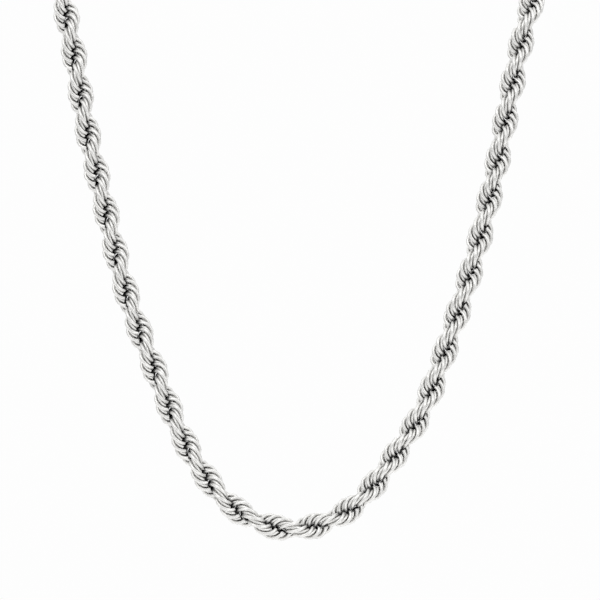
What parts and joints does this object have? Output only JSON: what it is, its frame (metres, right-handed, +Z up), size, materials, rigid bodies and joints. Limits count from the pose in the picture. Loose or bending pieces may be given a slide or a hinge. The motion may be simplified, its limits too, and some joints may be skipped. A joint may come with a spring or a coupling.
{
  "type": "rope chain necklace",
  "caption": "Twisted rope chain necklace in polished metal, a closed loop that hangs in a long V from the nape, with end caps, jump rings and a plain clasp.",
  "frame": {"origin": "middle of the closure at the nape, where the loop sits on the back of the neck", "axes": "+Z up, +X to the right of the front view, front of the loop towards -Y"},
  "size_m": [0.125, 0.1238, 0.1564],
  "materials": {
    "links": "polished steel wire with fine handling scratches, darker deep between the links",
    "fittings": "polished steel with fine handling scratches"
  },
  "bodies": {
    "root": {"rope_chain": "links", "end_cap_left": "fittings", "end_cap_right": "fittings", "jump_ring_left": "fittings", "jump_ring_right": "fittings", "clasp": "fittings"}
  },
  "joints": []
}
